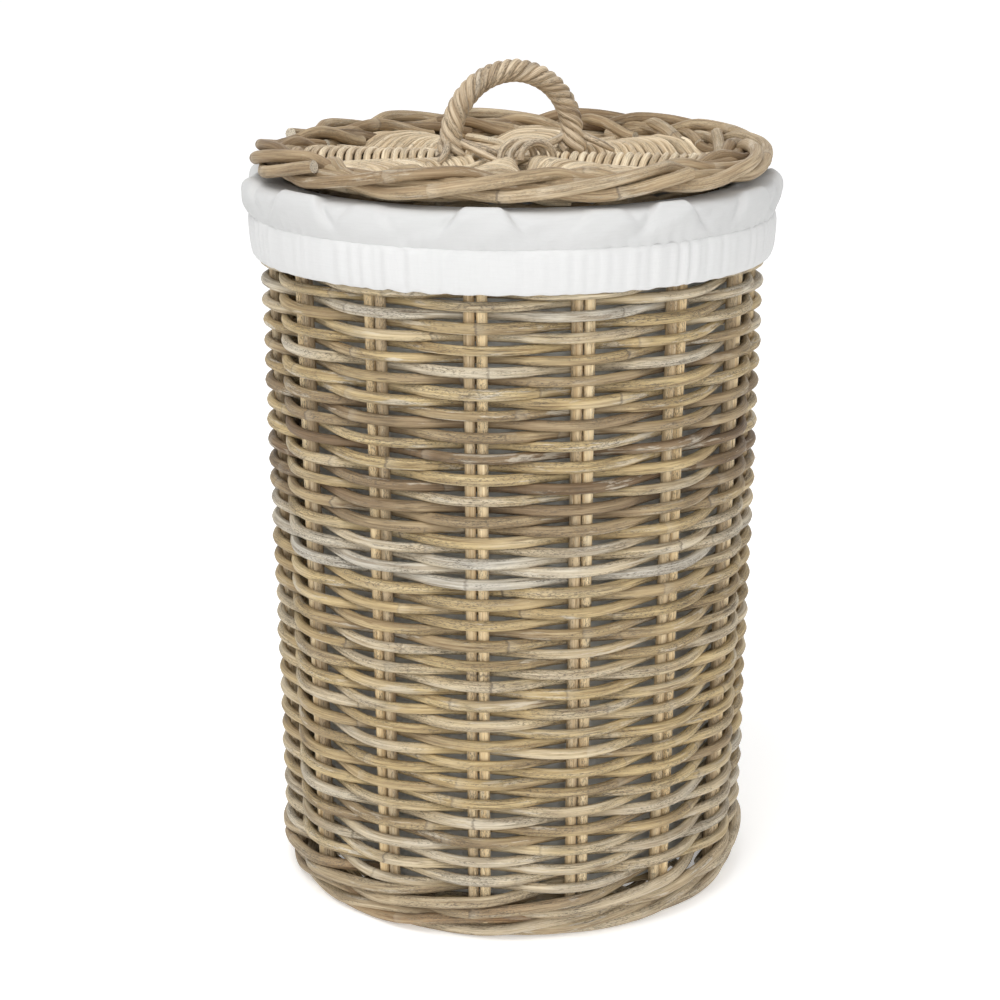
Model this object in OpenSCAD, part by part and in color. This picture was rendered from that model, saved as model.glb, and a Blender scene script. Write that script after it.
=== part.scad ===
// Round woven rattan laundry basket with a lift-out cotton liner and a lift-off lid.
// Origin: centre of the foot on the floor. +Z up. The front faces -Y.

/* [Basket] */
// Outer radius of the woven wall at the floor
foot_r = 191; // [188:1:194]
// Outer radius of the woven wall at the rim
rim_r = 200; // [198:1:201]
// Height of the rolled rim above the floor
rim_z = 566; // [540:1:600]
// Thickness of the woven wall, one weaver in front of a stake and one behind
wall_t = 24; // [22:1:26]
// Number of bands that the wall weave is worked in
weave_bands = 5; // [5:1:5]
// Height of the rolled foot border
foot_h = 13; // [11:1:14]
// Height where the heavy bottom waling ends and the wall weave starts
wale_z = 38; // [34:1:44]
// Height of the rolled rim border
rim_h = 15; // [12:1:18]

/* [Stakes] */
// Number of pairs of upright stakes
stake_pairs = 15; // [15:1:15]
// Diameter of one stake
stake_d = 7.4; // [6.5:0.1:8]
// Distance between the two stakes of a pair
stake_gap = 10; // [8.5:0.5:11]
// Angle of the first pair from the front
stake_phase = -8.1; // [-12:0.1:12]

/* [Base] */
// Diameter of the base sticks
base_stick_d = 8; // [7:0.5:8.5]
// Height of the middle of the lower base sticks
base_stick_z = 14; // [13:0.5:15]

/* [Liner] */
// Gap between the weave and the liner
liner_gap = 3; // [2:0.5:5]
// Thickness that stands for the liner cloth
cloth_t = 1.5; // [1:0.1:2]
// Outer radius of the folded top
cuff_r = 209; // [208:0.5:211]
// Outer radius of the elastic hem
hem_r = 206; // [205.5:0.5:208]
// Height of the hem's top edge
hem_z = 540; // [536:1:544]
// Height of the hem band
hem_h = 31; // [24:1:36]

/* [Lid] */
// Outer radius of the lid
lid_r = 203; // [201:1:205]
// Height of the crest of the lid's rolled border
lid_z = 598; // [596:1:602]
// Width of the rolled border, seen from above
lid_border_w = 40; // [34:1:46]
// Diameter of the lid's sticks
lid_stick_d = 6.4; // [5.5:0.1:6.8]
// Height of the upper face of the lid's weave
lid_weave_z = 585; // [584:1:588]

/* [Handle] */
// Turn of the handle's plane about the upright axis
handle_turn = 25; // [25:1:25]
// Radius of the handle's arch, to the middle of the rope
arch_r = 52; // [48:1:56]
// Height of the arch's centre
arch_z = 594; // [592:1:598]
// Radius of the handle's core
core_r = 4.5; // [4:0.1:5]
// Radius of one strand wound round the core
strand_r = 2.3; // [2:0.1:2.4]
// Number of strands
strand_count = 5; // [5:1:5]
// Length along the handle of one turn of a strand
strand_lead = 37; // [34:1:44]

/* [Hidden] */

// Smoothness of round parts
$fn = 96;
// Overlap that carries a cutting shape past the face that it cuts
past = 1;
// Room between a stick or stake and the channel it runs in
fit_gap = 0.15;
// Gap between faces of pieces that lift apart
lift_gap = 0.5;

// Height of the underside of the rim border, where the wall weave ends
rim_low = rim_z - rim_h;
// Height of one band of the wall weave
band_h = (rim_low - wale_z) / weave_bands;
// Radius from the axis to the middle of a stake, at the floor and at the rim
stake_foot_r = foot_r - wall_t / 2;
stake_rim_r = rim_r - wall_t / 2;
// Lean of the wall from upright
wall_lean = atan((rim_r - foot_r) / rim_z);
// How far a leaning stake's square end stays inside the flat faces above and below it
stake_end = 0.2;
// Angle of one pair of stakes
stake_step = 360 / stake_pairs;

// Foot border: inner radius, outer radius and the flat that stands on the floor
foot_in = 170;
foot_out = 189;
foot_flat_in = 173;
foot_flat_out = 184;
// Inner radius of the bottom waling, and its outer radius where it bulges
wale_in = 168;
wale_out = 193;
// Radius of the hole in the woven bases, filled by the crossed sticks
cross_r = 31;
// Distance between parallel sticks where the two layers cross
base_stick_gap = 8.6;
lid_stick_gap = 7;
// Angle between neighbouring sticks where they have fanned out
fan_step = 22.5;
// How far short of a weave's edge a stick's square end stays
stick_end = 3;

// Height of the middle of the upper base sticks
base_over_z = base_stick_z + base_stick_d + fit_gap;
// Top of the base
base_top = base_over_z + base_stick_d / 2;
// Height of the underside of the base weave
base_low = base_stick_z - base_stick_d / 2 + past;

// Underside of the liner, on the base
liner_low = base_top + lift_gap;
// Top of the rim that the liner is folded over
fold_z = rim_z + lift_gap;
// Inner radius of the hem, which clears the rim border
hem_in = 202;
// Thickness of one layer of the hem's casing, and of the elastic in it
hem_cloth = 1;
elastic_t = 1.4;
// Room round the elastic in its casing
elastic_room = 0.3;
// Radius of the liner's outer face at a height
function liner_r(z) = foot_r + (rim_r - foot_r) * z / rim_z - wall_t - liner_gap;

// Underside of the lid, on the folded liner
lid_low = fold_z + cloth_t + lift_gap;
// Inner radius of the lid border, where the lid's weave ends
lid_in = lid_r - lid_border_w;
// Heights of the middles of the lid's two layers of sticks
lid_over_z = lid_weave_z - lid_stick_d / 2 - past;
lid_under_z = lid_over_z - lid_stick_d - fit_gap;
// Locating ring under the lid: outer radius, thickness and height
ring_out = lid_in - past;
ring_t = 9;
ring_h = 17;
// Turn of the lid's sticks, which puts the handle's feet midway between the two layers' outer sticks
lid_turn = handle_turn - 2 * fan_step;

// Length of the straight legs under the arch
leg_h = arch_z - lid_low;
// Radius from the middle of the rope to the middle of a strand
strand_mid = core_r + strand_r + fit_gap;
// Height where the strands leave the lid
strand_low = lid_weave_z + past;
// Length of one strand's path along the rope
strand_leg = arch_z - strand_low;
strand_path = PI * arch_r + 2 * strand_leg;
// Rings along a strand and sides round it
strand_rings = 56;
strand_sides = 8;
// Tails that run from the handle's feet over the lid: radius, length and turn from the arch
tail_r = 2.6;
tail_len = 58;
tail_turn = 62;

// A flat-sided ring turned from a list of radius and height points
module turned(points) {
  rotate_extrude() polygon(points);
}

// A ring of rectangular section
module band(inner, outer, low, high) {
  turned([[inner, low], [outer, low], [outer, high], [inner, high]]);
}

// A round rod between two points
module rod(from, to, d) {
  run = to - from;
  length = norm(run);
  turn = atan2(run[1], run[0]);
  tilt = acos(run[2] / length);
  translate(from) rotate([0, tilt, turn]) cylinder(d = d, h = length);
}

// One of the crossed sticks: a bow whose middle lies beside the centre and whose ends fan out
module bowed_stick(row, gap, reach, z, d) {
  y = (row + 0.5) * gap;
  a = (row + 0.5) * fan_step;
  rise = reach * sin(a) - y;
  bow_r = (pow(reach * cos(a), 2) + rise * rise) / (2 * rise);
  half = asin(reach * cos(a) / bow_r);
  translate([0, y + bow_r, z]) rotate([0, 0, -90 - half])
    rotate_extrude(angle = 2 * half) translate([bow_r, 0]) circle(d = d);
}

// One layer of four crossed sticks
module stick_layer(gap, reach, z, d) {
  for (row = [0, 1], side = [0, 1])
    mirror([0, side, 0]) bowed_stick(row, gap, reach, z, d);
}

// The channels that both layers of sticks fill in the weave
module stick_channels(gap, reach, under_z, over_z, d) {
  stick_layer(gap, reach, under_z, d);
  rotate([0, 0, 90]) stick_layer(gap, reach, over_z, d);
}

// One stake of a pair, leaning out with the wall, between two heights
module stake(pair, side, d, low, high) {
  angle = stake_phase + stake_step * pair - 90;
  rotate([0, 0, angle])
    translate([stake_foot_r, side * stake_gap / 2, 0])
      rotate([0, wall_lean, 0])
        translate([0, 0, low]) cylinder(d = d, h = high - low);
}

// A pair of stakes
module stake_pair(pair) {
  color("#b29a6e") {
    stake(pair, -1, stake_d, foot_h + stake_end, rim_low - stake_end);
    stake(pair, 1, stake_d, foot_h + stake_end, rim_low - stake_end);
  }
}

// The channels that the stakes fill in the weave
module stake_channels(low, high) {
  for (pair = [0:stake_pairs - 1]) {
    stake(pair, -1, stake_d + 2 * fit_gap, low - past, high + past);
    stake(pair, 1, stake_d + 2 * fit_gap, low - past, high + past);
  }
}

// Rolled border of thick rods under the basket, with the flat that it stands on
module foot_border() {
  color("#8f7f66")
    turned([
      [foot_flat_in, 0], [foot_flat_out, 0], [foot_out, foot_h / 3], [foot_out, foot_h],
      [foot_in, foot_h], [foot_in, foot_h / 3]
    ]);
}

// Heavy waling that turns the stakes up from the base
module upsett_wale() {
  belly = (foot_h + wale_z) / 2;
  color("#97866c") difference() {
    turned([
      [wale_in, foot_h], [foot_out, foot_h], [wale_out, belly], [foot_r, wale_z], [wale_in, wale_z]
    ]);
    stake_channels(foot_h, wale_z);
  }
}

// Lower base sticks
module base_sticks_under() {
  color("#a08a63") stick_layer(base_stick_gap, wale_in - stick_end, base_stick_z, base_stick_d);
}

// Upper base sticks
module base_sticks_over() {
  color("#a08a63") rotate([0, 0, 90])
    stick_layer(base_stick_gap, wale_in - stick_end, base_over_z, base_stick_d);
}

// Woven round base, worked over and under the crossed sticks
module base_weave() {
  channel_d = base_stick_d + 2 * fit_gap;
  color("#a39478") difference() {
    band(cross_r, wale_in - fit_gap, base_low, base_top - past);
    stick_channels(base_stick_gap, wale_in - stick_end, base_stick_z, base_over_z, channel_d);
  }
}

// One band of the wall weave, with the channels of the stakes
module wall_weave(index) {
  low = wale_z + (index - 1) * band_h;
  high = low + band_h;
  slope = (rim_r - foot_r) / rim_z;
  low_r = foot_r + slope * low;
  high_r = foot_r + slope * high;
  color("#a3947c") difference() {
    turned([[low_r - wall_t, low], [low_r, low], [high_r, high], [high_r - wall_t, high]]);
    stake_channels(low, high);
  }
}

// Rolled border at the rim, hidden by the liner's cuff
module rim_border() {
  color("#9c8b6d") band(rim_r - wall_t, rim_r + past / 2, rim_low, rim_z);
}

// Round cloth bottom of the liner
module liner_base() {
  color("#e9e4d8") band(0, liner_r(liner_low) - lift_gap, liner_low, liner_low + cloth_t);
}

// Cloth side of the liner, inside the basket
module liner_wall() {
  low = liner_low + cloth_t;
  color("#e9e4d8") turned([
    [liner_r(low) - cloth_t, low], [liner_r(low), low],
    [liner_r(fold_z), fold_z], [liner_r(fold_z) - cloth_t, fold_z]
  ]);
}

// Cloth folded over the rim
module liner_fold() {
  color("#efebe2") band(liner_r(fold_z) - cloth_t, cuff_r, fold_z, fold_z + cloth_t);
}

// Loose cuff that hangs outside the rim
module liner_cuff() {
  color("#efebe2") turned([
    [hem_r - cloth_t, hem_z], [hem_r, hem_z], [cuff_r, fold_z], [cuff_r - cloth_t, fold_z]
  ]);
}

// Gathered casing at the cuff's lower edge
module liner_hem() {
  low = hem_z - hem_h;
  color("#f3f0ea") difference() {
    band(hem_in, hem_r, low, hem_z);
    band(hem_in + hem_cloth, hem_r - hem_cloth, low + hem_cloth, hem_z - hem_cloth);
  }
}

// Elastic in the casing
module hem_elastic() {
  inner = hem_in + hem_cloth + elastic_room;
  low = hem_z - hem_h + hem_cloth + elastic_room;
  color("#f7f7f5")
    band(inner, inner + elastic_t, low, hem_z - hem_cloth - elastic_room);
}

// Rolled border of thick rods round the lid
module lid_border() {
  round_over = lid_border_w / 4;
  color("#c0ab86") turned([
    [lid_in, lid_low], [lid_r - round_over / 2, lid_low], [lid_r, lid_low + round_over],
    [lid_r, lid_z - round_over], [lid_r - round_over, lid_z],
    [lid_in + round_over, lid_z], [lid_in, lid_weave_z]
  ]);
}

// Lower lid sticks
module lid_sticks_under() {
  color("#bda67e") rotate([0, 0, lid_turn])
    stick_layer(lid_stick_gap, lid_in - stick_end, lid_under_z, lid_stick_d);
}

// Upper lid sticks
module lid_sticks_over() {
  color("#bda67e") rotate([0, 0, lid_turn + 90])
    stick_layer(lid_stick_gap, lid_in - stick_end, lid_over_z, lid_stick_d);
}

// Woven middle of the lid, with the two holes that the handle's core passes through
module lid_weave() {
  channel_d = lid_stick_d + 2 * fit_gap;
  color("#c4b08b") difference() {
    band(cross_r, lid_in - fit_gap, lid_low, lid_weave_z);
    rotate([0, 0, lid_turn])
      stick_channels(lid_stick_gap, lid_in - stick_end, lid_under_z, lid_over_z, channel_d);
    for (side = [-1, 1])
      rotate([0, 0, handle_turn])
        translate([side * arch_r, 0, lid_low - past])
          cylinder(r = core_r + fit_gap, h = lid_weave_z);
  }
}

// Ring under the lid that finds the basket's mouth
module lid_ring() {
  color("#b29c75") band(ring_out - ring_t, ring_out, lid_low - ring_h, lid_low);
}

// Core of the handle: an arch with two straight legs
module handle_core() {
  color("#7d6c54") rotate([0, 0, handle_turn]) {
    translate([0, 0, arch_z]) rotate([90, 0, 0])
      rotate_extrude(angle = 180) translate([arch_r, 0]) circle(r = core_r);
    for (side = [-1, 1])
      translate([side * arch_r, 0, lid_low]) cylinder(r = core_r, h = leg_h);
  }
}

// Point and directions of the rope's middle line at a distance from its first foot
function rope_angle(s) = (s - strand_leg) / arch_r * 180 / PI;
function rope_point(s) =
  s < strand_leg ? [-arch_r, strand_low + s] :
  s > strand_path - strand_leg ? [arch_r, strand_low + strand_path - s] :
  [-arch_r * cos(rope_angle(s)), arch_z + arch_r * sin(rope_angle(s))];
function rope_out(s) =
  s < strand_leg ? [-1, 0] :
  s > strand_path - strand_leg ? [1, 0] :
  [-cos(rope_angle(s)), sin(rope_angle(s))];

// Point of a strand's middle line: across the arch, through it, and up
function strand_point(s, turn) =
  let (mid = rope_point(s), out = rope_out(s), a = turn - 360 * s / strand_lead)
  [
    mid[0] + strand_mid * cos(a) * out[0],
    strand_mid * sin(a),
    mid[1] + strand_mid * cos(a) * out[1]
  ];

// Ring of points round a strand at a distance along the rope
function strand_ring(s, turn) =
  let (
    step = strand_path / strand_rings / 4,
    here = strand_point(s, turn),
    run = strand_point(s + step, turn) - strand_point(s - step, turn),
    along = run / norm(run),
    out = here - [rope_point(s)[0], 0, rope_point(s)[1]],
    side_raw = cross(along, out),
    side = side_raw / norm(side_raw),
    up = cross(side, along)
  )
  [
    for (k = [0:strand_sides - 1])
      let (a = 360 * k / strand_sides)
      here + strand_r * (cos(a) * side + sin(a) * up)
  ];

// One strand of the handle's wrap
module handle_strand(index) {
  turn = index * 360 / strand_count;
  points = [
    for (i = [0:strand_rings])
      each strand_ring(strand_path * i / strand_rings, turn)
  ];
  first = [for (k = [0:strand_sides - 1]) k];
  last = [for (k = [strand_sides - 1:-1:0]) strand_rings * strand_sides + k];
  sides = [
    for (i = [0:strand_rings - 1], k = [0:strand_sides - 1])
      let (
        a = i * strand_sides + k,
        b = i * strand_sides + (k + 1) % strand_sides
      )
      each [[a, a + strand_sides, b], [b, a + strand_sides, b + strand_sides]]
  ];
  color("#8c7a60") rotate([0, 0, handle_turn])
    polyhedron(points = points, faces = concat([first], sides, [last]));
}

// Ends of the strands, laid over the lid from each foot of the handle
module handle_tails() {
  start = core_r + 2 * strand_r + tail_r + fit_gap;
  color("#94836a") rotate([0, 0, handle_turn])
    for (side = [-1, 1], way = [-1, 1])
      translate([side * arch_r, 0, lid_weave_z + tail_r])
        rotate([0, 0, side * way * tail_turn + (side < 0 ? 180 : 0)])
          rod([start, 0, 0], [start + tail_len, 0, 0], 2 * tail_r);
}

foot_border();
upsett_wale();
base_sticks_under();
base_sticks_over();
base_weave();
stake_pair(0);  // stake_pair_01
stake_pair(1);  // stake_pair_02
stake_pair(2);  // stake_pair_03
stake_pair(3);  // stake_pair_04
stake_pair(4);  // stake_pair_05
stake_pair(5);  // stake_pair_06
stake_pair(6);  // stake_pair_07
stake_pair(7);  // stake_pair_08
stake_pair(8);  // stake_pair_09
stake_pair(9);  // stake_pair_10
stake_pair(10);  // stake_pair_11
stake_pair(11);  // stake_pair_12
stake_pair(12);  // stake_pair_13
stake_pair(13);  // stake_pair_14
stake_pair(14);  // stake_pair_15
wall_weave(1);  // wall_weave_1
wall_weave(2);  // wall_weave_2
wall_weave(3);  // wall_weave_3
wall_weave(4);  // wall_weave_4
wall_weave(5);  // wall_weave_5
rim_border();
liner_base();
liner_wall();
liner_fold();
liner_cuff();
liner_hem();
hem_elastic();
lid_border();
lid_sticks_under();
lid_sticks_over();
lid_weave();
lid_ring();
handle_core();
handle_strand(1);  // handle_strand_1
handle_strand(2);  // handle_strand_2
handle_strand(3);  // handle_strand_3
handle_strand(4);  // handle_strand_4
handle_strand(5);  // handle_strand_5
handle_tails();
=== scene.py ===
"""Round rattan laundry basket: woven wall, rolled borders, cotton liner and a lid with a rope handle."""

import math

import bmesh
import bpy
import numpy as np
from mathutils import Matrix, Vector


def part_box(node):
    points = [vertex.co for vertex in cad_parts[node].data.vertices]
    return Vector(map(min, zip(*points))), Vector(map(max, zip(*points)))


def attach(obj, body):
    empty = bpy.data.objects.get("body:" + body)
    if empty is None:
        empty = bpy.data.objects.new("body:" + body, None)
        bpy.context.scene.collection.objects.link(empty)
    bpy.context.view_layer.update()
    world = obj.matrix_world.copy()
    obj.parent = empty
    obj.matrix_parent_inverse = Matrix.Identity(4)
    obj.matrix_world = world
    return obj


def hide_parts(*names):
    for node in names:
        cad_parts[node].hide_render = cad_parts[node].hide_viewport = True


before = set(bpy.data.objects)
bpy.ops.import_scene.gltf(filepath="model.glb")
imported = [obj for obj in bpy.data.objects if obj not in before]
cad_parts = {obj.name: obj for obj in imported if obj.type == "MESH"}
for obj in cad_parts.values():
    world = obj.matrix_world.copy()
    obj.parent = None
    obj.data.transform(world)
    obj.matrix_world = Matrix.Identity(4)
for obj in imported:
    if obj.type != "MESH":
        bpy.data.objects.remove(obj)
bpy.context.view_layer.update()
scene = bpy.context.scene

# ---------------------------------------------------------------- sizes, from the frame

STAKE_PAIRS = 15
FIRST_PAIR = math.radians(-8.1)
WALL_T = 0.024
STAKE_R = 0.0043
STAKE_GAP = 0.0093
WEAVER_R = 0.0041
SPOKES = 16
CORE_R = 0.0045
STRAND_R = 0.0031

wale_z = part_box("wall_weave_1")[0][2]
rim_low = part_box("wall_weave_5")[1][2]
rim_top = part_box("rim_border")[1][2]
band_z, band_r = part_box("wall_weave_1")[1][2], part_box("wall_weave_1")[1][0]
wall_lean = (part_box("wall_weave_5")[1][0] - band_r) / (rim_low - band_z)
wall_foot_r = band_r - wall_lean * band_z
foot_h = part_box("foot_border")[1][2]
lid_low, lid_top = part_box("lid_border")[0][2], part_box("lid_border")[1][2]
lid_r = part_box("lid_border")[1][0]
weave_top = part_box("lid_weave")[1][2]
weave_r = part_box("lid_weave")[1][0]
base_low, base_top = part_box("base_weave")[0][2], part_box("base_weave")[1][2]
base_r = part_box("base_weave")[1][0]
handle_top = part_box("handle_core")[1][2]


# ---------------------------------------------------------------- node arithmetic

class Field:
    """A number or vector in a node tree, with ordinary arithmetic."""

    def __init__(self, tree, socket):
        self.tree, self.socket = tree, socket

    def math(self, operation, *others):
        node = self.tree.nodes.new("ShaderNodeMath")
        node.operation = operation
        for socket, value in zip(node.inputs, (self, *others)):
            put(self.tree, socket, value)
        return Field(self.tree, node.outputs[0])

    def __add__(self, other):
        return self.math("ADD", other)

    def __sub__(self, other):
        return self.math("SUBTRACT", other)

    def __rsub__(self, other):
        return (self * -1.0).math("ADD", other)

    def __mul__(self, other):
        return self.math("MULTIPLY", other)

    def __truediv__(self, other):
        return self.math("DIVIDE", other)

    __radd__, __rmul__ = __add__, __mul__

    def __abs__(self):
        return self.math("ABSOLUTE")

    def cos(self):
        return self.math("COSINE")

    def sin(self):
        return self.math("SINE")

    def floor(self):
        return self.math("FLOOR")

    def power(self, exponent):
        return self.math("POWER", exponent)

    def mod(self, base):
        return self.math("FLOORED_MODULO", base)

    def to(self, low, high):
        """This 0 to 1 number, spread from low to high."""
        return self * (high - low) + low

    def ramp(self, low, high):
        """0 below low, 1 above high, smooth in between."""
        node = self.tree.nodes.new("ShaderNodeMapRange")
        node.interpolation_type = "SMOOTHSTEP"
        for socket, value in zip(node.inputs, (self, low, high, 0.0, 1.0)):
            put(self.tree, socket, value)
        return Field(self.tree, node.outputs[0])


def put(tree, socket, value):
    """Links a field to a socket, or sets the socket to a plain value."""
    if isinstance(value, Field):
        tree.links.new(value.socket, socket)
    else:
        socket.default_value = value


def node(tree, kind, inputs=None, **settings):
    """A new node with its settings and its inputs, which are given by name or number."""
    made = tree.nodes.new(kind)
    for key, value in settings.items():
        setattr(made, key, value)
    for key, value in (inputs or {}).items():
        put(tree, made.inputs[key], value)
    return made


def out(made, index=0):
    """One output of a node."""
    return Field(made.id_data, made.outputs[index])


def vector(x, y, z):
    """A vector of three numbers, the first of them a field."""
    return out(node(x.tree, "ShaderNodeCombineXYZ", {0: x, 1: y, 2: z}))


def part_of(place, index):
    """The x, y or z of a vector, by its number."""
    return out(node(place.tree, "ShaderNodeSeparateXYZ", {0: place}), index)


def noise(at, scale=1.0, detail=2.0, rough=0.5):
    """Smooth noise from 0 to 1 at a vector."""
    settings = {"Vector": at, "Scale": scale, "Detail": detail, "Roughness": rough}
    return out(node(at.tree, "ShaderNodeTexNoise", settings))


def random(index, seed, low=0.0, high=1.0):
    """A number for each index that stays the same from run to run."""
    made = node(index.tree, "FunctionNodeRandomValue", {"ID": index, "Seed": seed})
    made.inputs[2].default_value, made.inputs[3].default_value = low, high
    return out(made, 1)


# ---------------------------------------------------------------- rods drawn by Geometry Nodes

RODS = "Rods"
POINTS = "Points"
FIRST = "First rod"
SIDES = "Sides"
ROD_R = "Rod radius"
UNEVEN = "Unevenness"
MATERIAL = "Material"

SCAR_STEP = 0.21  # length of rattan between two leaf scars
GRAIN_SHIFT = 0.7371  # moves the grain along by this much from one rod to the next


def rod_tree(name, sizes, path):
    """A tree that draws rods along path(size, rod, t), which returns x, y, z, thickness and tone."""
    tree = bpy.data.node_groups.new(name, "GeometryNodeTree")
    for key, kind in ((RODS, "Int"), (POINTS, "Int"), (FIRST, "Int"), (SIDES, "Int"), (MATERIAL, "Material")):
        tree.interface.new_socket(key, in_out="INPUT", socket_type=f"NodeSocket{kind}")
    for key in (ROD_R, UNEVEN, *sizes):
        tree.interface.new_socket(key, in_out="INPUT", socket_type="NodeSocketFloat")
    tree.interface.new_socket("Geometry", in_out="OUTPUT", socket_type="NodeSocketGeometry")
    inputs = node(tree, "NodeGroupInput")
    size = {socket.name: Field(tree, socket) for socket in inputs.outputs if socket.name}

    # Straight lines, one for each rod, whose points are then moved on to the path.
    line = node(tree, "GeometryNodeCurvePrimitiveLine")
    line = node(tree, "GeometryNodeResampleCurve", {"Curve": out(line), "Count": size[POINTS]})
    seats = node(tree, "GeometryNodePoints", {"Count": size[RODS]})
    rods = node(tree, "GeometryNodeInstanceOnPoints", {"Points": out(seats), "Instance": out(line)})
    rods = node(tree, "GeometryNodeRealizeInstances", {"Geometry": out(rods)})
    index = out(node(tree, "GeometryNodeInputIndex"))
    step = (index / size[POINTS] + 1e-5).floor()
    t = (index - step * size[POINTS]) / (size[POINTS] - 1.0)
    rod = step + size[FIRST]
    x, y, z, thick, tone = path(size, rod, t)
    uneven = noise(vector(t * 9.0, rod * 7.31, 0.0)) - 0.5
    radius = size[ROD_R] * thick * (uneven * size[UNEVEN] * 2.0 + 1.0)
    rods = node(tree, "GeometryNodeSetPosition", {"Geometry": out(rods), "Position": vector(x, y, z)})
    rods = node(tree, "GeometryNodeSetCurveNormal", {"Curve": out(rods)}, mode="MINIMUM_TWIST")

    # Rods swell a little at their leaf scars. Their skin keeps its grain, its rod and where it is cut.
    length = out(node(tree, "GeometryNodeSplineParameter"), 1)
    from_scar = (length + rod * GRAIN_SHIFT + random(rod, 9) * SCAR_STEP).mod(SCAR_STEP) - SCAR_STEP / 2
    radius = radius * ((1.0 - abs(from_scar).ramp(0.0, 0.008)) * 0.05 + 1.0)
    rods, (along, rod_radius, rod_tone, rod_no) = capture(tree, rods, (length, radius, tone, rod))
    ring = node(tree, "GeometryNodeCurvePrimitiveCircle", {"Resolution": size[SIDES], "Radius": 1.0})
    place = out(node(tree, "GeometryNodeInputPosition"))
    ring, (px, py) = capture(tree, ring, (part_of(place, 0), part_of(place, 1)))
    skin = node(tree, "GeometryNodeCurveToMesh", {
        "Curve": out(rods), "Profile Curve": out(ring), "Scale": rod_radius, "Fill Caps": True})
    grain = vector(along + rod_no * GRAIN_SHIFT, px * rod_radius, py * rod_radius)
    skin = store(tree, skin, "grain", "FLOAT_VECTOR", grain)
    other = random(rod_no, 5)
    skin = store(tree, skin, "rod", "FLOAT_VECTOR", vector(rod_tone, other, random(rod_no, 9)))
    corners = out(node(tree, "GeometryNodeInputMeshFaceNeighbors"), 0)
    cut = corners.math("GREATER_THAN", 4.5)
    skin = store(tree, skin, "cut", "FLOAT", cut, "FACE")
    skin = node(tree, "GeometryNodeSetShadeSmooth", {"Geometry": out(skin), "Shade Smooth": 1.0 - cut})
    skin = node(tree, "GeometryNodeRealizeInstances", {"Geometry": out(skin)})
    skin = node(tree, "GeometryNodeSetMaterial", {"Geometry": out(skin), "Material": size[MATERIAL]})
    node(tree, "NodeGroupOutput", {"Geometry": out(skin)})
    return tree


def capture(tree, made, values):
    """Keeps these values on the points of a geometry, and returns the node and the kept values."""
    kept = []
    for value in values:
        holder = tree.nodes.new("GeometryNodeCaptureAttribute")
        holder.capture_items.new("FLOAT", "Value")
        put(tree, holder.inputs[0], out(made))
        put(tree, holder.inputs[1], value)
        kept.append(out(holder, 1))
        made = holder
    return made, kept


def store(tree, made, name, kind, value, domain="POINT"):
    """Writes a value into a named attribute of a geometry."""
    holder = node(tree, "GeometryNodeStoreNamedAttribute", data_type=kind, domain=domain)
    put(tree, holder.inputs["Geometry"], out(made))
    put(tree, holder.inputs["Name"], name)
    put(tree, next(s for s in holder.inputs if s.name == "Value" and s.enabled), value)
    return holder


def rods(name, tree, body, slot, nodes, sizes):
    """A plain mesh made by a rod tree, riding on a body in the place of CAD nodes."""
    maker = bpy.data.objects.new(name + "_maker", bpy.data.meshes.new(name + "_maker"))
    scene.collection.objects.link(maker)
    modifier = maker.modifiers.new("Rods", "NODES")
    modifier.node_group = tree
    for item in tree.interface.items_tree:
        if item.in_out == "INPUT" and item.name in sizes:
            modifier[item.identifier] = sizes[item.name]
    deps = bpy.context.evaluated_depsgraph_get()
    mesh = bpy.data.meshes.new_from_object(maker.evaluated_get(deps))
    bpy.data.objects.remove(maker)
    piece = bpy.data.objects.new(name, mesh)
    scene.collection.objects.link(piece)
    finish_piece(piece, body, nodes)
    return piece


def finish_piece(piece, body, nodes):
    """Says which body a piece rides on and which CAD nodes it stands for."""
    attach(piece, body)
    if nodes:
        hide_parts(*nodes)


# ---------------------------------------------------------------- materials

def palette(value, colours):
    """A colour ramp over value with evenly spread colours."""
    ramp = node(value.tree, "ShaderNodeValToRGB", {0: value})
    stops = ramp.color_ramp.elements
    while len(stops) < len(colours):
        stops.new(0.5)
    for i, colour in enumerate(colours):
        stops[i].position = i / (len(colours) - 1)
        stops[i].color = (*colour, 1.0)
    return out(ramp)


def mix(factor, a, b, blend="MIX"):
    """Two colours mixed by a factor."""
    made = node(factor.tree, "ShaderNodeMix", data_type="RGBA", blend_type=blend)
    put(factor.tree, made.inputs[0], factor)
    for socket, value in ((made.inputs[6], a), (made.inputs[7], b)):
        put(factor.tree, socket, value if isinstance(value, Field) else (*value, 1.0))
    return out(made, 2)


def attribute(tree, name, index):
    """An attribute of the piece: output 1 is a vector and output 2 a number."""
    return out(node(tree, "ShaderNodeAttribute", attribute_name=name), index)


def stretched_at(place, x, y, z):
    """A place with its three directions scaled, to stretch a pattern."""
    return out(node(place.tree, "ShaderNodeMapping", {"Vector": place, "Scale": (x, y, z)}))


def new_material(name):
    """A material with its node tree and its shader."""
    material = bpy.data.materials.new(name)
    material.use_nodes = True
    return material, material.node_tree, material.node_tree.nodes["Principled BSDF"]


def tinted(colour, factor):
    """A colour made darker by a factor, or by one factor for each of red, green and blue."""
    factors = factor if isinstance(factor, tuple) else (factor,) * 3
    return tuple(c * f for c, f in zip(colour, factors))


def add_bump(tree, shader, height, strength, distance):
    bump = node(tree, "ShaderNodeBump", {"Strength": strength, "Distance": distance, "Height": height})
    put(tree, shader.inputs["Normal"], out(bump))


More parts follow.
